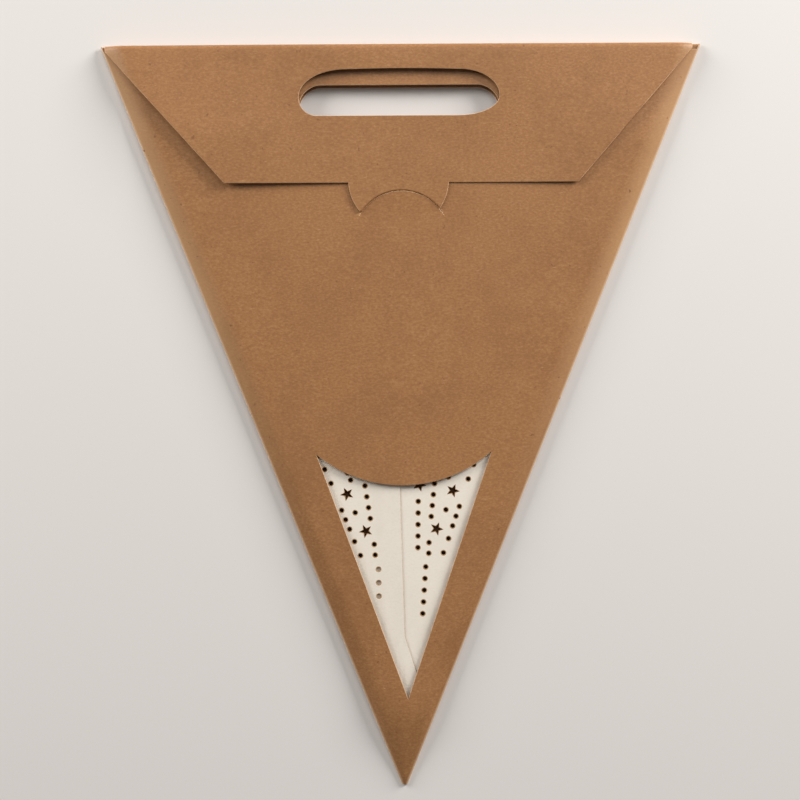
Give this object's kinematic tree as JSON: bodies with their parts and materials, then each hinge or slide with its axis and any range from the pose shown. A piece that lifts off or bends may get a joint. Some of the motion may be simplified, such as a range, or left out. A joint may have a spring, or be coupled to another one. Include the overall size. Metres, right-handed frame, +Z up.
{
  "type": "flat-packed paper star lantern in a triangular card carrier",
  "caption": "Triangular folded kraft card carrier with a handle slot, a tucked closing flap and a window, holding a punched white paper star lantern pressed flat.",
  "frame": {"origin": "middle of the carrier's outline in plan, on the table", "axes": "+X along the carrier's top edge, +Y from its tip towards its top edge, +Z up out of the window"},
  "size_m": [0.2944, 0.3626, 0.0107],
  "materials": {
    "kraft_card": "matte uncoated kraft card",
    "lantern_paper": "matte cream white paper"
  },
  "bodies": {
    "root": {"carrier": "kraft_card", "star_point_1": "lantern_paper", "star_point_2": "lantern_paper", "star_point_3": "lantern_paper", "star_point_4": "lantern_paper", "star_point_5": "lantern_paper"}
  },
  "joints": []
}
